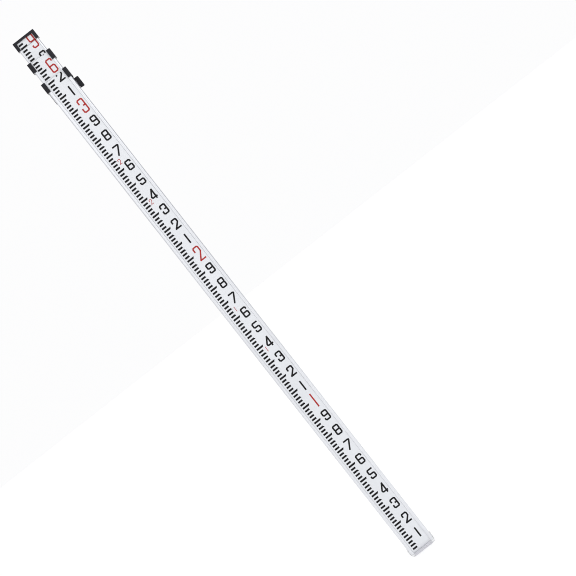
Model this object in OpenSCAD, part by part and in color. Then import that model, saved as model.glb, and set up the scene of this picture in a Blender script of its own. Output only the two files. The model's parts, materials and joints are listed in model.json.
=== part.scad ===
// Telescoping leveling rod with three sections, drawn closed and standing on its foot.
// +Z runs up the rod, the graduated face looks towards -Y, and z = 0 is the zero of the scale.

/* [Tubes] */
// Width of the outer tube
outer_w = 46.4; // [44:0.1:50]
// Depth of the outer tube, from the front ridges to the back
outer_d = 27; // [26.4:0.1:30]
// Wall thickness of all three tubes
wall = 1.4; // [1.2:0.1:1.6]
// Depth of the sunken face between the two front ridges
recess_d = 1.2; // [1:0.1:1.6]
// Width of one front ridge of the outer tube
ridge_w = 5.6; // [5:0.1:6]
// Width of the bevel on each back corner of the outer tube
bevel_w = 7.7; // [7:0.1:8.5]

/* [Heights of the closed rod] */
// Top end of the outer tube
outer_top = 978.4; // [970:0.1:990]
// Top end of the middle tube
middle_top = 1018.2; // [1012:0.1:1024]
// Top of the end cap
rod_h = 1061.8; // [1056:0.1:1070]

/* [Travel] */
// How far the middle section slides out of the outer one
middle_travel = 831.6; // [820:0.1:840]
// How far the top section slides out of the middle one
top_travel = 863.1; // [855:0.1:868]

/* [Collars and cap] */
// Height of a guide collar
collar_h = 17.7; // [16:0.1:20]
// How far a collar stands above the end of its tube
collar_lip = 2; // [1.5:0.1:3]
// Wall thickness of a guide collar
collar_wall = 2.1; // [2:0.1:2.6]
// Height of the end cap with its legs
cap_h = 16.2; // [15:0.1:18]

/* [Lock] */
// Height of the lock pin above the foot
lock_z = 953; // [950:0.1:956]
// Height of the lock housing
lock_h = 20.4; // [19:0.1:22]
// Height of the snap button's hole in the middle tube
snap_hole_z = 987.2; // [985:0.1:989]

/* [Foot] */
// Height of the shoe's side skirts
shoe_h = 13.8; // [12:0.1:16]
// Thickness of the steel wear strap
strap_t = 1.6; // [1.2:0.1:2]

/* [Hidden] */
$fn = 48;

// Play between one tube and the next
side_play = [0.7, 0.5];
back_play = 0.7;
front_play = 0.5;

// Each section is [half width, half width of the back flat, back y, front y, half width of the recess].
OUTER = [outer_w / 2, outer_w / 2 - bevel_w, outer_d / 2, -outer_d / 2, outer_w / 2 - ridge_w];
MIDDLE = inner_section(OUTER, side_play[0]);
TOP = inner_section(MIDDLE, side_play[1]);

// The tube that slides inside section s, with its bevels and ridges 1 mm narrower.
function inner_section(s, play) =
    let (half = s[0] - wall - play)
    [half, half - (s[0] - s[1]) + 1, s[2] - wall - back_play, s[3] + recess_d + wall + front_play,
        half - (s[0] - s[4]) + 1];

// Radii of the tubes' corners
front_r = 2;
ridge_r = 0.5;
back_r = 2.4;
inside_r = 0.15;

fit_gap = 0.05;
slide_gap = 0.35;
past = 1;
far = 60;
tall = rod_h + past;

// Scale faces
scale_t = 0.35;
scale_edge = 0.15;
scale_bottom = 6.4;
outer_hook = OUTER[4] + 0.4;
middle_hook = MIDDLE[4] - 0.6;
top_hook = TOP[4] - 0.3;

// Foot
shoe_wall = 1.1;
shoe_taper_h = 7.5;
shoe_taper = 1.7;
shoe_floor = 4;
shoe_front_h = 4.4;
strap_front_half = 17.5;
strap_front_h = 4.7;
strap_back_half = 13.9;
strap_back_h = 14.6;
strap_corner_r = 2.5;
strap_y = outer_d / 2 + shoe_wall;
rivet_z = 8.7;
rivet_r = 1.7;
rivet_head_r = 2.9;
rivet_hole_r = 1.1;
rivet_head_t = 0.7;
bumper_top = 18;

// Lock housing and its box
lock_bottom = outer_top + collar_lip - collar_h - lock_h;
lock_top = lock_bottom + lock_h;
lock_side_y = 0;
box_left = -11.9;
box_slope = 6.3;
box_right = 13.9;
box_back = 22;
box_bottom = lock_bottom + 2.4;
box_top = lock_top - 0.3;
box_wall = 1.2;
box_ceiling = 19.6;
lock_wall = 1.2;
arm_slot_half = 4.6;
arm_slot_right = 19.3;
rib_count = 4;
rib_pitch = 2.6;
notch_x = 8.2;
notch_half = 1.7;
notch_h = 2.2;

// Lock pin, its lever and its spring
lock_x = 3.2;
pin_r = 2;
pin_tip_y = MIDDLE[2] + 0.3;
flange_y = 15.65;
flange_t = 1;
flange_r = 3.6;
tail_r = 1.3;
tail_top = 19.7;
tail_bore_top = 21.2;
pivot_x = 10.4;
pivot_y = 16.6;
pivot_r = 0.9;
boss_r = 1.9;
boss_half = 5.9;
arm_tip_x = 6.4;
arm_tip_y = 14.75;
arm_tip_r = 0.8;
arm_half = 4;
arm_y = 16.2;
arm_t = 2.2;
pad_left = 16.3;
pad_right = 31;
pad_y = 16.9;
pad_t = 2.6;
pad_bottom = 941.5;
pad_top = 961.5;
pad_r = 2;
pad_ridges = [20, 23, 26];
spring_wire = 0.45;
spring_r = 2.4;
spring_turns = 2.5;

// Snap button and its leaf spring
snap_x = -2.5;
snap_r = 2.9;
snap_z = snap_hole_z - top_travel;
snap_tip_y = MIDDLE[2] - wall - 0.25;
snap_flange_y = 5;
snap_flange_t = 1;
snap_flange_r = 4;
leaf_t = 0.5;
leaf_w = 7;
leaf_bottom = snap_z - 32;
leaf_top = snap_z + 5;
leaf_back = snap_flange_y - snap_flange_t - fit_gap;
leaf_front = TOP[3] + recess_d + wall + fit_gap;

// Bottom ends of the sliding sections and their plugs
middle_bottom = bumper_top + 0.3;
plug_flange_h = 5.7;
middle_plug_top = middle_bottom + 31.7;
top_bottom = middle_plug_top + 0.3;
top_plug_top = top_bottom + 24;
plug_guide = 0.28;
plug_screw_z = 18;

// Countersunk side screws
screw_head_r = 2.5;
screw_r = 1.3;
screw_head_h = 1.4;
screw_slot_w = 0.7;
screw_slot_d = 0.7;
collar_screw_y = -3;
collar_screw_len = 3.6;
lock_screw_y = 4;
lock_screw_z = lock_bottom + lock_h / 2;
lock_screw_len = 2.6;
plug_screw_y = -1;
plug_screw_len = 5;

// Cap
cap_wall = 1.75;
cap_top_t = 4;
cap_screw_r = 1.9;
cap_screw_head_r = 3.65;
cap_screw_head_t = 1.1;
cap_screw_z = rod_h - 7;
cap_tube_top = rod_h - cap_top_t;
cap_plug_h = 12;
pointer_x = -4.9;
pointer_half = 2.2;
pointer_h = 2.4;

// Label
label_x = -5.6;
label_z = 870;
label_w = 16;
label_h = 24;
label_t = 0.15;

BLACK = [0.13, 0.13, 0.15];
METAL = [0.82, 0.83, 0.85];
STEEL = [0.62, 0.62, 0.66];

function unit(v) = v / norm(v);

function turned(p, angle) = [p[0] * cos(angle) - p[1] * sin(angle), p[0] * sin(angle) + p[1] * cos(angle)];

// The arc of radius r that rounds corner b, whose neighbours are a and c.
function corner_arc(a, b, c, r, steps) =
    let (
        u = unit(a - b),
        v = unit(c - b),
        half = acos(u * v) / 2,
        centre = b + unit(u + v) * r / sin(half),
        start = b + u * r / tan(half) - centre,
        sweep = sign(cross(v, u)) * (180 - 2 * half)
    )
    [for (i = [0:steps]) centre + turned(start, sweep * i / steps)];

function rounded(points, radii, steps = 4) =
    let (last = len(points) - 1)
    [
        for (i = [0:last])
            each corner_arc(points[i == 0 ? last : i - 1], points[i], points[i == last ? 0 : i + 1],
                radii[i], steps)
    ];

// Outline of section s moved outwards by grow, with the sunken face between its ridges.
function tube_outline(s, grow, front, back) =
    let (
        x = s[0] + grow,
        flat_x = s[1] + grow * (sqrt(2) - 1),
        back_y = s[2] + grow,
        front_y = s[3] - grow,
        recess_x = s[4] - grow,
        floor_y = front_y + recess_d,
        bevel_y = back_y - (x - flat_x),
        ridge = min(front, ridge_r)
    )
    rounded(
        [
            [recess_x, front_y], [x, front_y], [x, bevel_y], [flat_x, back_y], [-flat_x, back_y],
            [-x, bevel_y], [-x, front_y], [-recess_x, front_y], [-recess_x, floor_y],
            [recess_x, floor_y]
        ],
        [ridge, front, back, back, back, back, front, ridge, inside_r, inside_r]
    );

// The same outline with a plain front, for what wraps round a tube.
function shell_outline(s, grow, front, back) =
    let (
        x = s[0] + grow,
        flat_x = s[1] + grow * (sqrt(2) - 1),
        back_y = s[2] + grow,
        bevel_y = back_y - (x - flat_x)
    )
    rounded(
        [
            [x, s[3] - grow], [x, bevel_y], [flat_x, back_y], [-flat_x, back_y], [-x, bevel_y],
            [-x, s[3] - grow]
        ],
        [front, back, back, back, back, front]
    );

module prism(points, z0, z1) {
    translate([0, 0, z0])
        linear_extrude(z1 - z0)
            polygon(points);
}

module block(low, high) {
    translate(low)
        cube(high - low);
}

// A round bar along Y, from y0 to y1.
module bar_y(x, z, r, y0, y1) {
    translate([x, y1, z])
        rotate([90, 0, 0])
            cylinder(r = r, h = y1 - y0);
}

module hollow_tube(s, z0, z1) {
    difference() {
        prism(tube_outline(s, 0, front_r, back_r), z0, z1);
        prism(tube_outline(s, -wall, inside_r, back_r - wall / 2), z0 - past, z1 + past);
    }
}

module scale_face(half, s, z0, z1) {
    floor_y = s[3] + recess_d - fit_gap;
    block([-half, floor_y - scale_t, z0], [half, floor_y, z1]);
}

// A countersunk screw along X whose head is flush with the side at x.
module side_screw(x, y, z, length) {
    translate([x, y, z])
        rotate([0, 90, 0])
            difference() {
                union() {
                    translate([0, 0, -screw_head_h])
                        cylinder(r1 = screw_r, r2 = screw_head_r, h = screw_head_h);
                    translate([0, 0, -length])
                        cylinder(r = screw_r, h = length - screw_head_h / 2);
                }
                translate([-screw_head_r, -screw_slot_w / 2, -screw_slot_d])
                    cube([2 * screw_head_r, screw_slot_w, screw_slot_d + past]);
            }
}

// The hole that such a screw fills, a little larger.
module side_screw_hole(x, y, z, length) {
    translate([x, y, z])
        rotate([0, 90, 0]) {
            translate([0, 0, -screw_head_h])
                cylinder(r1 = screw_r + fit_gap, r2 = screw_head_r + fit_gap, h = screw_head_h);
            translate([0, 0, -fit_gap])
                cylinder(r = screw_head_r + fit_gap, h = past);
            translate([0, 0, -length - fit_gap])
                cylinder(r = screw_r + fit_gap, h = length);
        }
}

module both_sides() {
    children();
    mirror([1, 0, 0])
        children();
}

// A collar round the top end of section s that guides section next.
module guide_collar(s, next, hook, tube_top) {
    z1 = tube_top + collar_lip;
    z0 = z1 - collar_h;
    difference() {
        prism(shell_outline(s, collar_wall, front_r, back_r), z0, z1);
        prism(tube_outline(s, fit_gap, front_r, back_r), z0 - past, tube_top + fit_gap);
        prism(tube_outline(next, slide_gap, front_r, back_r), tube_top, z1 + past);
        // Open at the front between its two hooks.
        block([-hook, s[3] - far, z0 - past], [hook, s[3] + recess_d + fit_gap, z1 + past]);
        block([-hook, s[3], tube_top], [hook, 0, z1 + past]);
    }
}

function collar_screw_z(tube_top) = tube_top + collar_lip - collar_h / 2 - 1;

module collar_screw_holes(s, tube_top) {
    both_sides()
        side_screw_hole(s[0] + collar_wall, collar_screw_y, collar_screw_z(tube_top), collar_screw_len);
}

module collar_screws(s, tube_top) {
    both_sides()
        side_screw(s[0] + collar_wall, collar_screw_y, collar_screw_z(tube_top), collar_screw_len);
}

module lock_screw_holes() {
    both_sides()
        side_screw_hole(OUTER[0] + lock_wall, lock_screw_y, lock_screw_z, lock_screw_len);
}

module outer_tube() {
    color(METAL)
        difference() {
            hollow_tube(OUTER, shoe_floor + fit_gap, outer_top);
            bar_y(lock_x, lock_z, pin_r + fit_gap, 0, far);
            bar_y(0, rivet_z, rivet_r + fit_gap, 0, far);
            collar_screw_holes(OUTER, outer_top);
            lock_screw_holes();
        }
}

module outer_scale() {
    color("white")
        scale_face(OUTER[4] - scale_edge, OUTER, scale_bottom, outer_top - scale_edge);
}

module foot_shoe() {
    color([0.84, 0.85, 0.86])
        difference() {
            union() {
                prism(shell_outline(OUTER, shoe_wall, front_r, back_r), shoe_taper_h, shoe_h);
                hull() {
                    prism(shell_outline(OUTER, shoe_wall, front_r, back_r), shoe_taper_h - 0.1, shoe_taper_h);
                    prism(shell_outline(OUTER, shoe_wall - shoe_taper, front_r, back_r), 0, 0.1);
                }
            }
            prism(tube_outline(OUTER, fit_gap, front_r, back_r), shoe_floor, far);
            // The scale stays in sight above a low front rim.
            block([-far, -far, shoe_front_h], [far, OUTER[3] + recess_d + fit_gap, far]);
            prism(strap_plan(fit_gap), -past, strap_t);
            bar_y(0, rivet_z, rivet_r + fit_gap, 0, far);
        }
}

// Plan of the strap's bottom plate, wider at the front than at the back.
function strap_plan(grow) =
    let (front = strap_front_half + grow, back = strap_back_half + grow, y = strap_y + strap_t)
    [[-front, -y], [front, -y], [front, 0], [back, y], [-back, y], [-front, 0]];

module foot_strap() {
    color(STEEL)
        difference() {
            union() {
                prism(strap_plan(0), 0, strap_t - fit_gap);
                strap_tab(strap_front_half, strap_front_h, 1, -strap_y - fit_gap);
                strap_tab(strap_back_half, strap_back_h, strap_corner_r, strap_y + strap_t);
            }
            bar_y(0, rivet_z, rivet_r + fit_gap, 0, far);
        }
}

// An upright tab with rounded top corners whose back face is at y.
module strap_tab(half, height, r, y) {
    translate([0, y, 0])
        rotate([90, 0, 0])
            linear_extrude(strap_t - fit_gap)
                polygon(rounded([[-half, 0], [half, 0], [half, height], [-half, height]],
                    [inside_r, inside_r, r, r], 6));
}

module foot_rivet() {
    inner_y = OUTER[2] - wall;
    head_y = strap_y + strap_t;
    color(STEEL)
        difference() {
            union() {
                bar_y(0, rivet_z, rivet_r, inner_y - rivet_head_t, head_y);
                bar_y(0, rivet_z, rivet_head_r, head_y, head_y + rivet_head_t);
                bar_y(0, rivet_z, rivet_head_r, inner_y - rivet_head_t, inner_y - fit_gap);
            }
            bar_y(0, rivet_z, rivet_hole_r, 0, far);
        }
}

module foot_bumper() {
    pocket = rivet_head_r + 0.6;
    color([0.2, 0.2, 0.2])
        difference() {
            prism(tube_outline(OUTER, -wall - slide_gap, inside_r, back_r - wall / 2),
                shoe_floor + fit_gap, bumper_top);
            block([-pocket, OUTER[2] - wall - 2, -past], [pocket, far, rivet_z + pocket]);
        }
}

module outer_collar() {
    color(BLACK)
        difference() {
            guide_collar(OUTER, MIDDLE, outer_hook, outer_top);
            collar_screw_holes(OUTER, outer_top);
        }
}

module outer_collar_screws() {
    color(STEEL)
        collar_screws(OUTER, outer_top);
}

// Raised box over the lock, with one sloped side.
module lock_box(z0, z1) {
    prism([[box_left, OUTER[2] + fit_gap], [box_right, OUTER[2] + fit_gap], [box_right, box_back],
        [box_left + box_slope, box_back], [box_left, OUTER[2] + lock_wall]], z0, z1);
}

// Upright grip ribs on the bevel and the side away from the lever.
module grip_ribs() {
    middle_x = -(OUTER[1] + OUTER[0]) / 2 - lock_wall * sqrt(2) / 2;
    middle_y = OUTER[2] - bevel_w / 2 + lock_wall * sqrt(2) / 2;
    for (i = [0:rib_count - 1])
        translate([middle_x, middle_y, 0])
            rotate([0, 0, 45])
                translate([(i - (rib_count - 1) / 2) * rib_pitch, 0, lock_bottom + 1.6])
                    prism([[-0.7, -0.5], [0.7, -0.5], [0.4, 0.7], [-0.4, 0.7]], 0, lock_h - 3.6);
}

module lock_housing() {
    color(BLACK)
        difference() {
            union() {
                intersection() {
                    prism(shell_outline(OUTER, lock_wall, front_r, back_r), lock_bottom, lock_top - 0.1);
                    block([-far, lock_side_y, 0], [far, far, tall]);
                }
                lock_box(box_bottom, box_top);
                grip_ribs();
            }
            prism(tube_outline(OUTER, fit_gap, front_r, back_r), 0, tall);
            // Room for the pin, the spring and the lever.
            block([lock_x - flange_r - 0.8, 0, box_bottom + box_wall + 0.2],
                [box_right - box_wall, box_ceiling, box_top - box_wall - 0.2]);
            // Way out for the lever's arm.
            block([pivot_x, 0, lock_z - arm_slot_half],
                [arm_slot_right, box_ceiling, lock_z + arm_slot_half]);
            bar_y(lock_x, lock_z, tail_r + fit_gap, 0, tail_bore_top);
            translate([pivot_x, pivot_y, box_bottom - 0.1])
                cylinder(r = pivot_r + 0.02, h = box_top - box_bottom - 0.4);
            index_notch();
            lock_screw_holes();
        }
}

// Small index notch in the bottom edge.
module index_notch() {
    translate([notch_x, far, lock_bottom])
        rotate([90, 0, 0])
            linear_extrude(far)
                polygon([[-notch_half, -past], [notch_half, -past], [notch_half, 0], [0, notch_h],
                    [-notch_half, 0]]);
}

module lock_housing_screws() {
    color(STEEL)
        both_sides()
            side_screw(OUTER[0] + lock_wall, lock_screw_y, lock_screw_z, lock_screw_len);
}

module lever_pin() {
    color(STEEL)
        translate([pivot_x, pivot_y, box_bottom])
            cylinder(r = pivot_r, h = box_top - box_bottom - 0.6);
}

module lock_lever() {
    color([0.2, 0.2, 0.22])
        difference() {
            union() {
                translate([pivot_x, pivot_y, lock_z - boss_half])
                    cylinder(r = boss_r, h = 2 * boss_half);
                translate([arm_tip_x, arm_tip_y, lock_z - arm_half])
                    cylinder(r = arm_tip_r, h = 2 * arm_half);
                block([arm_tip_x, arm_tip_y - arm_tip_r, lock_z - arm_half],
                    [pivot_x - boss_r / 2, arm_tip_y + arm_tip_r, lock_z + arm_half]);
                block([pivot_x, arm_y, lock_z - arm_half], [pad_left + 2, arm_y + arm_t, lock_z + arm_half]);
                thumb_pad();
            }
            translate([pivot_x, pivot_y, 0])
                cylinder(r = pivot_r + fit_gap, h = tall);
        }
}

// Wide thumb pad with rounded outer corners and three grip ridges.
module thumb_pad() {
    translate([0, pad_y + pad_t, 0])
        rotate([90, 0, 0])
            linear_extrude(pad_t)
                polygon(rounded([[pad_left, pad_bottom + 2], [pad_right, pad_bottom],
                    [pad_right, pad_top], [pad_left, pad_top]], [inside_r, pad_r, pad_r, inside_r], 6));
    for (x = pad_ridges)
        translate([x, pad_y + pad_t, pad_bottom + 4])
            prism([[-0.6, -0.3], [0.6, -0.3], [0.3, 0.6], [-0.3, 0.6]], 0, pad_top - pad_bottom - 7);
}

module lock_pin() {
    color(STEEL)
        union() {
            bar_y(lock_x, lock_z, pin_r, pin_tip_y + 0.6, flange_y + past / 2);
            translate([lock_x, pin_tip_y + 0.6, lock_z])
                rotate([90, 0, 0])
                    cylinder(r1 = pin_r, r2 = pin_r - 0.6, h = 0.6);
            bar_y(lock_x, lock_z, flange_r, flange_y, flange_y + flange_t);
            bar_y(lock_x, lock_z, tail_r, flange_y, tail_top);
        }
}

// Points of a ring of the coil at a turn angle, and the swept coil itself.
module coil(r, wire_r, turns, height) {
    sides = 8;
    steps = ceil(turns * 16);
    rings = [
        for (i = [0:steps])
            let (a = 360 * turns * i / steps, h = height * i / steps)
            [
                for (k = [0:sides - 1])
                    let (b = 360 * k / sides, q = r + wire_r * cos(b))
                    [q * cos(a), q * sin(a), h + wire_r * sin(b)]
            ]
    ];
    points = [for (ring = rings) each ring];
    faces = [
        [for (k = [sides - 1:-1:0]) k],
        [for (k = [0:sides - 1]) steps * sides + k],
        for (i = [0:steps - 1])
            for (k = [0:sides - 1])
                let (n = (k + 1) % sides, a = i * sides, b = (i + 1) * sides)
                each [[a + k, b + n, b + k], [a + k, a + n, b + n]]
    ];
    polyhedron(points, faces);
}

module lock_spring() {
    rise = box_ceiling - flange_y - flange_t - spring_wire - 2 * fit_gap;
    color(STEEL)
        translate([lock_x, box_ceiling - spring_wire / 2 - fit_gap, lock_z])
            rotate([90, 0, 0])
                coil(spring_r, spring_wire / 2, spring_turns, rise);
}

module back_label() {
    color("white")
        translate([label_x, OUTER[2] + fit_gap / 2 + label_t, label_z - label_h / 2])
            rotate([90, 0, 0])
                linear_extrude(label_t)
                    polygon(rounded([[-label_w / 2, 0], [label_w / 2, 0],
                        [label_w / 2, label_h], [-label_w / 2, label_h]], [1, 1, 1, 1]));
}

module middle_tube() {
    color(METAL)
        difference() {
            hollow_tube(MIDDLE, middle_bottom + plug_flange_h, middle_top);
            bar_y(lock_x, lock_z - middle_travel, pin_r + 0.2, 0, far);
            bar_y(snap_x, snap_hole_z, snap_r + 0.2, 0, far);
            collar_screw_holes(MIDDLE, middle_top);
            plug_screw_holes(MIDDLE, middle_bottom);
        }
}

module middle_scale() {
    color("white")
        scale_face(middle_hook - 0.1, MIDDLE, middle_bottom + plug_flange_h + scale_edge,
            middle_top - scale_edge);
}

module middle_collar() {
    color(BLACK)
        difference() {
            guide_collar(MIDDLE, TOP, middle_hook, middle_top);
            collar_screw_holes(MIDDLE, middle_top);
        }
}

module middle_collar_screws() {
    color(STEEL)
        collar_screws(MIDDLE, middle_top);
}

// A plug that closes the bottom end of section s; its flange is the guide.
module end_plug(s, z0, z1) {
    prism(tube_outline(s, plug_guide, front_r, back_r), z0, z0 + plug_flange_h - fit_gap);
    prism(tube_outline(s, -wall - fit_gap, inside_r, back_r - wall / 2), z0, z1);
}

module plug_screw_holes(s, z0) {
    both_sides()
        side_screw_hole(s[0], plug_screw_y, z0 + plug_screw_z, plug_screw_len);
}

module plug_screws(s, z0) {
    both_sides()
        side_screw(s[0], plug_screw_y, z0 + plug_screw_z, plug_screw_len);
}

module middle_plug() {
    color([0.25, 0.25, 0.27])
        difference() {
            end_plug(MIDDLE, middle_bottom, middle_plug_top);
            plug_screw_holes(MIDDLE, middle_bottom);
        }
}

module middle_plug_screws() {
    color(STEEL)
        plug_screws(MIDDLE, middle_bottom);
}

module top_tube() {
    color(METAL)
        difference() {
            hollow_tube(TOP, top_bottom + plug_flange_h, cap_tube_top - fit_gap);
            bar_y(snap_x, snap_z, snap_r + fit_gap, 0, far);
            bar_y(0, cap_screw_z, cap_screw_r + fit_gap, 0, far);
            plug_screw_holes(TOP, top_bottom);
        }
}

module top_scale() {
    color("white")
        scale_face(top_hook - 0.1, TOP, top_bottom + plug_flange_h + scale_edge, cap_tube_top - scale_edge);
}

module top_cap() {
    plug_front = TOP[3] + recess_d + wall + fit_gap;
    back_y = TOP[2] + cap_wall;
    color(BLACK)
        difference() {
            union() {
                difference() {
                    prism(shell_outline(TOP, cap_wall, front_r, back_r), rod_h - cap_h, rod_h);
                    prism(tube_outline(TOP, fit_gap, front_r, back_r), 0, cap_tube_top);
                    block([-top_hook, -far, 0], [top_hook, TOP[3] + recess_d + fit_gap, cap_tube_top]);
                }
                prism(tube_outline(TOP, -wall - fit_gap, inside_r, back_r - wall / 2),
                    cap_tube_top - cap_plug_h, cap_tube_top + past);
                // Small pointer on the lower edge at the back.
                translate([pointer_x, back_y, rod_h - cap_h])
                    rotate([90, 0, 0])
                        linear_extrude(cap_wall - 2 * fit_gap)
                            polygon([[-pointer_half, past], [-pointer_half, 0], [0, -pointer_h],
                                [pointer_half, 0], [pointer_half, past]]);
            }
            bar_y(0, cap_screw_z, cap_screw_r + fit_gap, 0, far);
            bar_y(0, cap_screw_z, cap_screw_head_r + 0.1, back_y - cap_screw_head_t + 0.4, far);
        }
}

module cap_screw() {
    head_y = TOP[2] + cap_wall - cap_screw_head_t + 0.45;
    color([0.8, 0.8, 0.82])
        difference() {
            union() {
                bar_y(0, cap_screw_z, cap_screw_r, 1, head_y + fit_gap);
                bar_y(0, cap_screw_z, cap_screw_head_r, head_y, head_y + cap_screw_head_t);
            }
            block([-far, head_y + cap_screw_head_t - 0.6, cap_screw_z - 0.5], [far, far, cap_screw_z + 0.5]);
            block([-0.5, head_y + cap_screw_head_t - 0.6, 0], [0.5, far, tall]);
        }
}

module top_plug() {
    color([0.25, 0.25, 0.27])
        difference() {
            end_plug(TOP, top_bottom, top_plug_top);
            plug_screw_holes(TOP, top_bottom);
        }
}

module top_plug_screws() {
    color(STEEL)
        plug_screws(TOP, top_bottom);
}

module snap_button() {
    dome_h = 1.2;
    color(STEEL)
        union() {
            bar_y(snap_x, snap_z, snap_r, snap_flange_y - fit_gap, snap_tip_y - dome_h);
            bar_y(snap_x, snap_z, snap_flange_r, snap_flange_y - snap_flange_t, snap_flange_y);
            translate([snap_x, snap_tip_y - dome_h, snap_z])
                rotate([-90, 0, 0])
                    rotate_extrude()
                        polygon([
                            [0, -fit_gap], [snap_r, -fit_gap],
                            for (a = [0:15:90]) [snap_r - dome_h + dome_h * cos(a), dome_h * sin(a)],
                            [0, dome_h]
                        ]);
        }
}

// A leaf bent into a narrow U: one leg lies on the front wall, the other bears on the button.
module snap_spring() {
    bend_r = 2;
    bend_y = leaf_front + bend_r;
    arc = [for (a = [180:15:360]) [bend_y + bend_r * cos(a), leaf_bottom + bend_r + bend_r * sin(a)]];
    inside = [for (a = [360:-15:180])
        [bend_y + (bend_r - leaf_t) * cos(a), leaf_bottom + bend_r + (bend_r - leaf_t) * sin(a)]];
    color(STEEL)
        translate([snap_x - leaf_w / 2, 0, 0])
            rotate([90, 0, 90])
                linear_extrude(leaf_w)
                    polygon([
                        [leaf_front, leaf_top - 6],
                        each arc,
                        [leaf_back, snap_z - 4], [leaf_back, leaf_top],
                        [leaf_back - leaf_t, leaf_top], [leaf_back - leaf_t, snap_z - 4],
                        each inside,
                        [leaf_front + leaf_t, leaf_top - 6]
                    ]);
}

outer_tube();
outer_scale();
foot_shoe();
foot_strap();
foot_rivet();
foot_bumper();
outer_collar();
outer_collar_screws();
lock_housing();
lock_housing_screws();
lever_pin();
lock_lever();
lock_pin();
lock_spring();
back_label();
middle_tube();
middle_scale();
middle_collar();
middle_collar_screws();
middle_plug();
middle_plug_screws();
top_tube();
top_scale();
top_cap();
cap_screw();
top_plug();
top_plug_screws();
snap_button();
snap_spring();
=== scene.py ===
"""Looks of the leveling rod: finishes, printed scale, back label, studio and camera."""
import json
import math

import bmesh
import bpy
from mathutils import Matrix, Vector, geometry


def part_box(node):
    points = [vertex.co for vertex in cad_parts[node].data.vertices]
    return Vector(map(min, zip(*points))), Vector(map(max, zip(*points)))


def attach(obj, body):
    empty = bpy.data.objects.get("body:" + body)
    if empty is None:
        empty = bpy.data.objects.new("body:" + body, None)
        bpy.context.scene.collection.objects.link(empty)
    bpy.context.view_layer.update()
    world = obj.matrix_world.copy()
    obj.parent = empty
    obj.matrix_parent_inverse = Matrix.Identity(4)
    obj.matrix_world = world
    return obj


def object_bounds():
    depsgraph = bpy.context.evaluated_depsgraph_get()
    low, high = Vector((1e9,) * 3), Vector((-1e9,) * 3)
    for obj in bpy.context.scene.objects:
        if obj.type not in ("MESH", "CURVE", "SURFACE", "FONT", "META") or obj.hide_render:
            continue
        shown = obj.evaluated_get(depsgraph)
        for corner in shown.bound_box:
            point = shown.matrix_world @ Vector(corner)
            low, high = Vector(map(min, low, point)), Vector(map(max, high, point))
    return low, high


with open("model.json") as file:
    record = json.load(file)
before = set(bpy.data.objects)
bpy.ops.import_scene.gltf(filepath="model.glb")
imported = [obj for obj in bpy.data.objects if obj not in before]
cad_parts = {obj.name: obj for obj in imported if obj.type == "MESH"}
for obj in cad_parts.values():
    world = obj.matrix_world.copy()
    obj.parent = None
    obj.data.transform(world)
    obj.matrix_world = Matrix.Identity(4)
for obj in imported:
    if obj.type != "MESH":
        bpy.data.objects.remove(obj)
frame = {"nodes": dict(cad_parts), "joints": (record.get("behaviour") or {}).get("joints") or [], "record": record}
cad_low, cad_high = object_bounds()

MM = 0.001
FOOT = 0.3048
NODES = frame["nodes"]

# ---------------------------------------------------------------- node helpers


def add(tree, kind, inputs=None, **settings):
    """Adds a shader node; inputs are values or the sockets to link."""
    made = tree.nodes.new("ShaderNode" + kind)
    for key, value in settings.items():
        setattr(made, key, value)
    for key, value in (inputs or {}).items():
        if isinstance(value, bpy.types.NodeSocket):
            tree.links.new(value, made.inputs[key])
        else:
            made.inputs[key].default_value = value
    return made


def place(tree, scale):
    """The object's own coordinates in metres, stretched by scale."""
    coords = add(tree, "TexCoord").outputs["Object"]
    return add(tree, "Mapping", {"Vector": coords, "Scale": scale}).outputs[0]


def noise(tree, scale, size, detail=3.0, roughness=0.55):
    inputs = {"Vector": place(tree, scale), "Scale": size, "Detail": detail, "Roughness": roughness}
    return add(tree, "TexNoise", inputs).outputs[0]


def spread(tree, value, low, high, start=0.35, end=0.65):
    """Maps a noise value from start..end to low..high."""
    inputs = {"Value": value, "From Min": start, "From Max": end, "To Min": low, "To Max": high}
    return add(tree, "MapRange", inputs).outputs[0]


def between(tree, factor, dark, light):
    """A colour from dark to light by factor; each is a colour or a socket."""
    made = add(tree, "Mix", data_type="RGBA")
    tree.links.new(factor, made.inputs[0])
    for socket, colour in ((made.inputs[6], dark), (made.inputs[7], light)):
        if isinstance(colour, bpy.types.NodeSocket):
            tree.links.new(colour, socket)
        else:
            socket.default_value = (*colour, 1)
    return made.outputs[2]


def combine(tree, a, b, operation="MULTIPLY"):
    """The product of two values or sockets, or what another operation makes of them."""
    made = add(tree, "Math", operation=operation)
    for socket, value in zip(made.inputs, (a, b)):
        if isinstance(value, bpy.types.NodeSocket):
            tree.links.new(value, socket)
        else:
            socket.default_value = value
    return made.outputs[0]


def edges(tree, radius):
    """1 along the sharp edges and 0 on the flats."""
    soft = add(tree, "Bevel", {"Radius": radius}, samples=4).outputs[0]
    flat = add(tree, "NewGeometry").outputs["Normal"]
    dot = add(tree, "VectorMath", {0: soft, 1: flat}, operation="DOT_PRODUCT").outputs["Value"]
    return spread(tree, dot, 1.0, 0.0, 0.86, 0.995)


def bump(tree, height, distance, strength):
    return add(tree, "Bump", {"Height": height, "Distance": distance, "Strength": strength}).outputs[0]


def material(name):
    made = bpy.data.materials.new(name)
    made.use_nodes = True
    return made, made.node_tree, made.node_tree.nodes["Principled BSDF"]


def link(tree, shader, **sockets):
    """Links sockets to the shader's inputs; base_color stands for Base Color."""
    for key, value in sockets.items():
        tree.links.new(value, shader.inputs[key.replace("_", " ").title()])


# ------------------------------------------------------------------- materials


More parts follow.
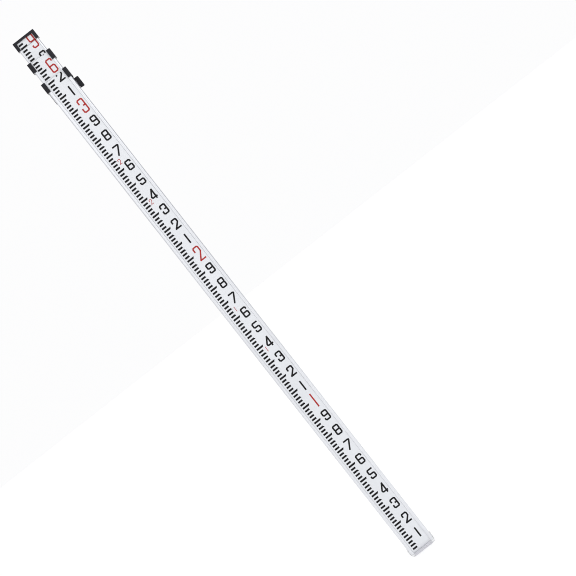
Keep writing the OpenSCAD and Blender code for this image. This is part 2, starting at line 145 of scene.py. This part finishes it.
def tube_metal():
    """Satin anodised aluminium with extrusion lines along the tube and faint handling marks."""
    made, tree, shader = material("tube_metal")
    lines = noise(tree, (1, 1, 0.004), 1400, 4)
    bands = noise(tree, (1, 1, 0.01), 160, 2)
    marks = noise(tree, (1, 1, 0.35), 38, 5, 0.7)
    tone = between(tree, spread(tree, bands, 0, 1), (0.70, 0.71, 0.74), (0.76, 0.77, 0.80))
    worn = spread(tree, marks, 0, 0.30, 0.60, 0.74)
    link(tree, shader, base_color=between(tree, worn, tone, (0.58, 0.59, 0.62)))
    rough = combine(tree, spread(tree, lines, 0.22, 0.29), spread(tree, marks, 0, 0.08), "ADD")
    link(tree, shader, roughness=rough, normal=bump(tree, lines, 0.00002, 0.25))
    shader.inputs["Metallic"].default_value = 0.92
    return made


def scale_white():
    """White baked enamel, slightly uneven, with fine dust and scuffs from the sliding sections."""
    made, tree, shader = material("scale_white")
    cloud = noise(tree, (1, 1, 0.3), 14, 3)
    scuffs = noise(tree, (1, 1, 0.03), 420, 5, 0.7)
    dust = noise(tree, (1, 1, 1), 900, 2)
    tone = between(tree, spread(tree, cloud, 0, 1), (0.685, 0.70, 0.73), (0.73, 0.745, 0.775))
    tone = between(tree, spread(tree, scuffs, 0, 0.30, 0.60, 0.74), tone, (0.62, 0.63, 0.66))
    tone = between(tree, spread(tree, dust, 0, 0.25, 0.66, 0.78), tone, (0.50, 0.50, 0.52))
    link(tree, shader, base_color=tone, roughness=spread(tree, scuffs, 0.30, 0.45))
    link(tree, shader, normal=bump(tree, noise(tree, (1, 1, 1), 700, 2), 0.00003, 0.25))
    shader.inputs["Coat Weight"].default_value = 0.25
    shader.inputs["Coat Roughness"].default_value = 0.12
    return made


def ink(name, dark, light, roughness):
    """Printed ink: uneven cover, with tiny pinholes that let the enamel through."""
    made, tree, shader = material(name)
    cover = noise(tree, (1, 1, 0.6), 260, 4)
    holes = noise(tree, (1, 1, 1), 1500, 2)
    tone = between(tree, spread(tree, cover, 0, 1), dark, light)
    tone = between(tree, spread(tree, holes, 0, 0.3, 0.74, 0.84), tone, (0.45, 0.45, 0.46))
    link(tree, shader, base_color=tone, roughness=spread(tree, cover, roughness - 0.08, roughness + 0.10))
    link(tree, shader, normal=bump(tree, cover, 0.00003, 0.4))
    shader.inputs["Specular IOR Level"].default_value = 0.2
    return made


def moulded(name, dark, light, roughness, gloss=0.4, edge=None, edge_width=0.0006):
    """Moulded plastic with a fine spark-eroded grain; its edges are worn paler, or take the colour edge, which on
    the shoe is painted shade and on the black plastic a painted highlight.
    """
    made, tree, shader = material(name)
    cloud = noise(tree, (1, 1, 1), 45, 3)
    pits = noise(tree, (1, 1, 1), 900, 3, 0.6)
    # Along the edges the tone turns paler with wear, or takes the colour edge: painted shade on the shoe, a
    # painted highlight on the black plastic.
    wear_and_painted_edge = combine(tree, edges(tree, edge_width), spread(tree, noise(tree, (1, 1, 1), 260, 4), 0.3, 0.95))
    tone = between(tree, spread(tree, cloud, 0, 1), dark, light)
    link(tree, shader, base_color=between(tree, wear_and_painted_edge, tone, edge or tuple(c * 1.35 + 0.02 for c in light)))
    link(tree, shader, roughness=spread(tree, cloud, roughness - 0.06, roughness + 0.08))
    link(tree, shader, normal=bump(tree, pits, 0.00006, 0.5))
    shader.inputs["Specular IOR Level"].default_value = gloss
    return made


def steel(name, dark, light, roughness, stretch, metallic=1.0):
    """Bare or plated steel: grain along the stretched axis, dull stains, brighter edges."""
    made, tree, shader = material(name)
    grain = noise(tree, stretch, 1500, 4)
    stain = noise(tree, (1, 1, 1), 150, 5, 0.65)
    tone = between(tree, spread(tree, grain, 0, 1), dark, light)
    tone = between(tree, spread(tree, stain, 0, 0.45, 0.58, 0.75), tone, STAIN)
    bright = tuple(min(1.0, c + 0.12) for c in light)
    tone = between(tree, combine(tree, edges(tree, 0.0004), 0.7), tone, bright)
    rough = spread(tree, grain, roughness - 0.05, roughness + 0.07)
    rough = combine(tree, rough, spread(tree, stain, 0, 0.15), "ADD")
    link(tree, shader, base_color=tone, roughness=rough, normal=bump(tree, grain, 0.00005, 0.4))
    shader.inputs["Metallic"].default_value = metallic
    return made


def rubber(name):
    made, tree, shader = material(name)
    cloud = noise(tree, (1, 1, 1), 120, 4)
    tone = between(tree, spread(tree, cloud, 0, 1), (0.018, 0.018, 0.018), (0.045, 0.044, 0.042))
    link(tree, shader, base_color=tone, roughness=spread(tree, cloud, 0.75, 0.92))
    link(tree, shader, normal=bump(tree, noise(tree, (1, 1, 1), 1200, 2), 0.0001, 0.6))
    return made


def label_film(name):
    """Pale satin film with a faint wrinkle or two."""
    made, tree, shader = material(name)
    cloud = noise(tree, (1, 1, 1), 90, 3)
    tone = between(tree, spread(tree, cloud, 0, 1), (0.66, 0.67, 0.70), (0.74, 0.75, 0.78))
    link(tree, shader, base_color=tone, roughness=spread(tree, cloud, 0.32, 0.46))
    link(tree, shader, normal=bump(tree, noise(tree, (1, 1, 0.4), 220, 2), 0.0001, 0.3))
    shader.inputs["Metallic"].default_value = 0.35
    return made


# Colours of the painted shade along the shoe's edges, of the painted highlight along the black moulding's edges
# and of stains on steel.
PAINTED_EDGE_SHADE = (0.22, 0.205, 0.19)
PAINTED_EDGE_HIGHLIGHT = (0.11, 0.11, 0.12)
STAIN = (0.36, 0.33, 0.31)
SHOE_TONES = (0.80, 0.81, 0.83), (0.87, 0.88, 0.89)
BLACK_TONES = (0.003, 0.003, 0.006), (0.007, 0.007, 0.012)
FINISHES = {
    "tube_metal": tube_metal(),
    "scale_white": scale_white(),
    # The shoe's darker edge band is painted shade.
    "shoe_plastic": moulded("shoe_plastic", *SHOE_TONES, 0.45, edge=PAINTED_EDGE_SHADE, edge_width=0.0016),
    "strap_steel": steel("strap_steel", (0.54, 0.54, 0.58), (0.66, 0.66, 0.70), 0.38, (0.02, 1, 1), 0.85),
    "stop_rubber": rubber("stop_rubber"),
    # The black moulding's paler edge band is a painted highlight.
    "black_plastic": moulded("black_plastic", *BLACK_TONES, 0.26, gloss=0.27, edge=PAINTED_EDGE_HIGHLIGHT),
    "guide_plastic": moulded("guide_plastic", (0.035, 0.035, 0.038), (0.060, 0.060, 0.065), 0.55),
    "screw_steel": steel("screw_steel", (0.58, 0.58, 0.60), (0.74, 0.74, 0.76), 0.26, (1, 1, 1)),
    "pin_steel": steel("pin_steel", (0.50, 0.50, 0.52), (0.66, 0.66, 0.68), 0.30, (1, 0.02, 1)),
    "spring_steel": steel("spring_steel", (0.38, 0.38, 0.40), (0.52, 0.52, 0.55), 0.32, (1, 1, 1)),
    "label_film": label_film("label_film"),
}
INK_BLACK = ink("ink_black", (0.002, 0.002, 0.003), (0.006, 0.006, 0.007), 0.46)
INK_RED = ink("ink_red", (0.33, 0.022, 0.020), (0.42, 0.034, 0.030), 0.42)

# Width in millimetres of the rounded edge given to each finish's nodes.
EDGE = {"tube_metal": 0.12, "shoe_plastic": 0.5, "strap_steel": 0.22, "black_plastic": 0.35,
        "screw_steel": 0.1, "pin_steel": 0.12, "guide_plastic": 0.3, "stop_rubber": 0.4}


def round_edges(obj, width):
    """Rounds a CAD node's edges with modifiers; its mesh stays as it is."""
    weld = obj.modifiers.new("weld", "WELD")
    weld.merge_threshold = 0.00001
    flat = obj.modifiers.new("flat", "DECIMATE")
    flat.decimate_type = "DISSOLVE"
    flat.angle_limit = math.radians(0.5)
    bevel = obj.modifiers.new("edge", "BEVEL")
    bevel.width = width
    bevel.segments = 3
    bevel.limit_method = "ANGLE"
    bevel.angle_limit = math.radians(35)
    bevel.use_clamp_overlap = True
    bevel.harden_normals = True


def finish_nodes():
    for part in frame["record"]["subparts"]:
        obj = NODES[part["node"]]
        obj.data.materials.clear()
        obj.data.materials.append(FINISHES[part["material_slot"]])
        if part["material_slot"] in EDGE:
            round_edges(obj, EDGE[part["material_slot"]] * MM)


# -------------------------------------------------------- strokes and numerals

# Centre lines of the numerals: x and y are -1 to 1 from edge to edge.
LOOP_TOP = [(0, 0), (-1, 0), (-1, 1), (1, 1), (1, 0), (0, 0)]
LOOP_BOTTOM = [(0, 0), (1, 0), (1, -1), (-1, -1), (-1, 0), (0, 0)]
NUMERALS = {
    "1": [[(0, -1), (0, 1)]],
    "2": [[(-1, 0.44), (-1, 1), (1, 1), (1, 0.2), (-0.95, -0.95)], [(-1, -1), (1, -1)]],
    "3": [[(-1, 0.44), (-1, 1), (1, 1), (1, -1), (-1, -1), (-1, -0.44)], [(0.3, 0), (1, 0)]],
    "4": [[(0.57, -1.05), (0.57, 1)], [(0.5, 0.98), (-1, -0.36), (-1, -0.73), (0.95, -0.73)]],
    "5": [[(0.93, 1), (-1, 1), (-1, 0), (1, 0), (1, -1), (-1, -1), (-1, -0.66)]],
    "6": [[(1, 0.66), (1, 1), (-1, 1), (-1, -1), (1, -1), (1, 0), (-1, 0)]],
    "7": [[(-1, 1), (1, 1), (1, 0.8), (-0.85, -1)]],
    "8": [LOOP_TOP, LOOP_BOTTOM],
    "9": [[(-1, -0.66), (-1, -1), (1, -1), (1, 1), (-1, 1), (-1, 0), (1, 0)]],
}


def cut_corners(points, cut):
    """Replaces each square corner of a line by a short diagonal."""
    made = [points[0]]
    for a, b, c in zip(points, points[1:], points[2:]):
        before, after = (a - b), (c - b)
        if abs(before.normalized().dot(after.normalized())) < 0.2:
            made += [b + before.normalized() * min(cut, before.length / 2)]
            made += [b + after.normalized() * min(cut, after.length / 2)]
        else:
            made.append(b)
    return made + [points[-1]]


def stroke_quads(points, width):
    """Four-cornered pieces that cover a line of that width, mitred where they meet, square at its ends."""
    first, last = (points[0] - points[1]).normalized(), (points[-1] - points[-2]).normalized()
    points = [points[0] + first * width / 2, *points[1:-1], points[-1] + last * width / 2]
    sides = []
    for i, p in enumerate(points):
        before = (p - points[i - 1]).normalized() if i else (points[1] - p).normalized()
        after = (points[i + 1] - p).normalized() if i < len(points) - 1 else before
        mitre = (before + after).normalized()
        across = Vector((-mitre.y, mitre.x)) * (width / 2 / max(0.3, mitre.dot(after)))
        sides.append((p + across, p - across))
    return [(a, b, d, c) for (a, b), (c, d) in zip(sides, sides[1:])]


def union(polygons):
    """One flat shape from overlapping polygons: its points and its faces, counter-clockwise."""
    points, faces = [], []
    for polygon in polygons:
        turn = sum(a.cross(b) for a, b in zip(polygon, [*polygon[1:], polygon[0]]))
        corners = list(polygon) if turn > 0 else list(reversed(polygon))
        faces.append(list(range(len(points), len(points) + len(corners))))
        points += corners
    points, _, triangles, _, _, sources = geometry.delaunay_2d_cdt(points, [], faces, 0, 1e-7)
    return points, [t for t, source in zip(triangles, sources) if source]


def numeral(digit, half_width, half_height, stroke, cut):
    """A numeral's flat shape, centred on its origin."""
    polygons = []
    for line in NUMERALS[digit]:
        points = [Vector((x * half_width, y * half_height)) for x, y in line]
        polygons += stroke_quads(cut_corners(points, cut), stroke)
    return union(polygons)


def raise_shape(bm, shape, centre, front, back):
    """Adds a flat shape as a thin closed solid between the planes y = front and y = back."""
    points, faces = shape
    sides = {(a, b) for face in faces for a, b in zip(face, [*face[1:], face[0]])}
    used = sorted({i for face in faces for i in face})
    near = {i: bm.verts.new((centre[0] + points[i].x, front, centre[1] + points[i].y)) for i in used}
    far = {i: bm.verts.new((centre[0] + points[i].x, back, centre[1] + points[i].y)) for i in used}
    for face in faces:
        bm.faces.new([near[i] for i in face])
        bm.faces.new([far[i] for i in reversed(face)])
    for a, b in sides:
        if (b, a) not in sides:
            bm.faces.new([near[b], near[a], far[a], far[b]])


def piece(name, bm, finish, body):
    """Turns a bmesh into a named piece that rides on a body."""
    bmesh.ops.recalc_face_normals(bm, faces=bm.faces)
    mesh = bpy.data.meshes.new(name)
    bm.to_mesh(mesh)
    bm.free()
    mesh.materials.append(finish)
    obj = bpy.data.objects.new(name, mesh)
    bpy.context.scene.collection.objects.link(obj)
    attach(obj, body)
    return obj


# --------------------------------------------------------------- printed scale

INK_THICKNESS = 0.06 * MM
INK_SPREAD = 0.12 * MM
HUNDREDTH = FOOT / 100
BAR_START = -14.8 * MM
BAR_SHORT = -6.3 * MM
BAR_MEDIUM = -4.3 * MM
BAR_LONG = -1.2 * MM
BAR_POINT = 2.0 * MM
DIGIT_X = 8.8 * MM
SMALL_X = -0.8 * MM
TENTHS = {"half_width": 4.4 * MM, "half_height": 7.7 * MM, "stroke": 2.8 * MM, "cut": 1.3 * MM}
FEET = {"half_width": 4.5 * MM, "half_height": 11.6 * MM, "stroke": 2.5 * MM, "cut": 1.6 * MM}
SMALL = {"half_width": 1.9 * MM, "half_height": 4.1 * MM, "stroke": 1.0 * MM, "cut": 0.7 * MM}
# Where the small foot numerals stand, as parts of a foot above it.
SMALL_AT = (0.368, 0.639)


def bar(k):
    """The bar whose upper edge is at k hundredths: its points, with z = 0 at that edge, and its face."""
    low, high = -HUNDREDTH - INK_SPREAD, INK_SPREAD
    if k % 10 == 0:
        outline = [(BAR_START, low), (BAR_LONG - BAR_POINT, low), (BAR_LONG, high), (BAR_START, high)]
    elif k % 10 == 6:
        outline = [(BAR_START, low), (BAR_MEDIUM, low), (BAR_MEDIUM - BAR_POINT, high), (BAR_START, high)]
    else:
        outline = [(BAR_START, low), (BAR_SHORT, low), (BAR_SHORT, high), (BAR_START, high)]
    return [Vector(p) for p in outline], [(0, 1, 2, 3)]


def clip(bm, z, normal):
    """Cuts off what lies beyond height z on the side that normal points to."""
    cut = bmesh.ops.bisect_plane(
        bm, geom=[*bm.verts, *bm.edges, *bm.faces], plane_co=(0, 0, z), plane_no=normal, clear_outer=True
    )
    rim = [e for e in cut["geom_cut"] if isinstance(e, bmesh.types.BMEdge)]
    bmesh.ops.holes_fill(bm, edges=rim, sides=0)


def print_scale(section, node, lift, first):
    """Prints one section's graduations; a mark at reading r stands at r feet minus lift."""
    low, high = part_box(node)
    front, back = low.y - INK_THICKNESS, low.y
    bottom, top = max(low.z, first), high.z
    shapes = {"marks": bmesh.new(), "tenths": bmesh.new(), "feet": bmesh.new()}
    for k in range(2 * math.ceil((bottom + lift) / HUNDREDTH / 2), int((top + lift) / HUNDREDTH) + 12, 2):
        z = k * HUNDREDTH - lift
        if z - HUNDREDTH < top and z > bottom:
            raise_shape(shapes["marks"], bar(k), (0, z), front, back)
        if k % 10:
            continue
        centre = z - HUNDREDTH / 2
        feet, tenth = divmod(k // 10, 10)
        style, group, digit = (TENTHS, "tenths", tenth) if tenth else (FEET, "feet", feet)
        reach = style["half_height"] + style["stroke"] / 2
        if digit and bottom < centre + reach and centre - reach < top:
            raise_shape(shapes[group], numeral(str(digit), **style), (DIGIT_X, centre), front, back)
        for part in SMALL_AT if feet and not tenth else ():
            centre = (feet + part) * FOOT - lift
            if bottom < centre - SMALL["half_height"] and centre + SMALL["half_height"] < top:
                raise_shape(shapes["feet"], numeral(str(feet), **SMALL), (SMALL_X, centre), front, back)
    for group, bm in shapes.items():
        clip(bm, top, (0, 0, 1))
        clip(bm, bottom, (0, 0, -1))
        finish = INK_RED if group == "feet" else INK_BLACK
        piece(f"{section.split('_')[0]}_{group}", bm, finish, section)


def print_scales():
    travel = {j["name"]: j["range_m"][1] for j in frame["joints"] if j["type"] == "slide"}
    middle_lift = travel["middle_slide"]
    top_lift = middle_lift + travel["top_slide"]
    outer_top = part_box("outer_tube")[1].z
    middle_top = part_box("middle_tube")[1].z
    print_scale("outer_section", "outer_scale", 0, 0)
    print_scale("middle_section", "middle_scale", middle_lift, outer_top - middle_lift)
    print_scale("top_section", "top_scale", top_lift, middle_top + middle_lift - top_lift)


# ------------------------------------------------------------------ back label


def print_label():
    """A plain mark on the label: an arrow that points up the rod over two bars."""
    low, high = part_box("back_label")
    centre = ((low.x + high.x) / 2, (low.z + high.z) / 2)
    w, h = (high.x - low.x) / 2, (high.z - low.z) / 2
    arrow = [Vector((0, 0.72 * h)), Vector((-0.45 * w, 0.25 * h)), Vector((0.45 * w, 0.25 * h))]
    stem = [Vector((x * w, y * h)) for x, y in ((-0.14, 0.25), (-0.14, -0.2), (0.14, -0.2), (0.14, 0.25))]
    polygons = [arrow, stem]
    for z in (-0.36, -0.62):
        corners = ((-0.45, z), (0.45, z), (0.45, z + 0.1), (-0.45, z + 0.1))
        polygons.append([Vector((x * w, y * h)) for x, y in corners])
    bm = bmesh.new()
    raise_shape(bm, union(polygons), centre, high.y + INK_THICKNESS / 2, high.y)
    piece("label_mark", bm, INK_BLACK, "outer_section")


# ---------------------------------------------------------------------- studio

ROD_H = cad_high.z - cad_low.z
FACE_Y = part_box("outer_tube")[0].y
VIEW_WIDTH = 0.9391
AIM_X = 0.0879
AIM_Z = 0.4739
ROLL = math.radians(38.08)
TILT = math.radians(1.2)
LENS = 100
FLOOR_TONE = (0.97, 0.97, 0.97, 1)
# A little light of its own, which brings the floor close to the tent's tone behind the main view.
FLOOR_GLOW = 0.09
TENT_TONE = (0.98, 0.98, 0.985)


def make_camera():
    """Looks at the graduated face from slightly above, rolled so that the rod lies slanted in the picture."""
    data = bpy.data.cameras.new("camera")
    data.lens = LENS
    data.sensor_width = 36
    camera = bpy.data.objects.new("camera", data)
    bpy.context.scene.collection.objects.link(camera)
    bpy.context.scene.camera = camera
    turn = Matrix.Rotation(math.pi / 2 - TILT, 4, "X") @ Matrix.Rotation(-ROLL, 4, "Z")
    away = VIEW_WIDTH * LENS / data.sensor_width
    camera.matrix_world = Matrix.Translation((AIM_X, FACE_Y, AIM_Z)) @ turn @ Matrix.Translation((0, 0, away))


def make_floor():
    bm = bmesh.new()
    bmesh.ops.create_circle(bm, cap_ends=True, segments=96, radius=60)
    mesh = bpy.data.meshes.new("floor")
    bm.to_mesh(mesh)
    bm.free()
    floor = bpy.data.objects.new("floor", mesh)
    floor.location.z = cad_low.z - 0.0001
    bpy.context.scene.collection.objects.link(floor)
    made, tree, shader = material("floor")
    shader.inputs["Base Color"].default_value = FLOOR_TONE
    shader.inputs["Roughness"].default_value = 1.0
    shader.inputs["Specular IOR Level"].default_value = 0.0
    shader.inputs["Emission Color"].default_value = (1, 1, 1, 1)
    shader.inputs["Emission Strength"].default_value = FLOOR_GLOW
    mesh.materials.append(made)


def area_light(name, at, size, power, target):
    data = bpy.data.lights.new(name, "AREA")
    data.shape = "RECTANGLE"
    data.size, data.size_y = size
    data.energy = power
    light = bpy.data.objects.new(name, data)
    light.location = at
    light.rotation_euler = (Vector(target) - Vector(at)).to_track_quat("-Z", "Y").to_euler()
    bpy.context.scene.collection.objects.link(light)


# Each strip of the tent is where it stands, in degrees from -Y towards +X, its half width and its tone.
STRIPS = [(0, 75, (1.22, 1.225, 1.23)), (90, 48, (0.50, 0.51, 0.54)), (-52, 32, (0.42, 0.42, 0.44)),
          (140, 25, (0.50, 0.51, 0.54)), (-142, 26, (0.42, 0.43, 0.45))]


def make_light():
    """A bright tent whose strips draw the metal's edges, one broad soft box and two tall narrow ones."""
    world = bpy.data.worlds.new("tent")
    bpy.context.scene.world = world
    world.use_nodes = True
    tree = world.node_tree
    direction = add(tree, "TexCoord").outputs["Generated"]
    tone = TENT_TONE
    for angle, half, strip_tone in STRIPS:
        towards = (math.sin(math.radians(angle)), -math.cos(math.radians(angle)), 0)
        dot = add(tree, "VectorMath", {0: direction, 1: towards}, operation="DOT_PRODUCT").outputs["Value"]
        limits = {"From Min": math.cos(math.radians(half)), "From Max": math.cos(math.radians(half / 2))}
        strip = add(tree, "MapRange", {"Value": dot, **limits}, interpolation_type="SMOOTHSTEP").outputs[0]
        tone = between(tree, strip, tone, strip_tone)
    tree.links.new(tone, tree.nodes["Background"].inputs["Color"])
    tree.nodes["Background"].inputs["Strength"].default_value = 1.0
    middle = (0, 0, ROD_H / 2)
    area_light("key_front", (1.6, -2.6, 2.2), (1.2, 1.8), 10, middle)
    area_light("key_side", (-2.3, -0.3, 1.3), (0.12, 1.8), 2, middle)
    area_light("key_back", (-1.4, 2.3, 1.9), (0.25, 1.8), 3, middle)


finish_nodes()
print_scales()
print_label()
make_camera()
make_floor()
make_light()
bpy.context.scene.view_settings.view_transform = "Standard"
bpy.context.scene.cycles.filter_width = 1.0
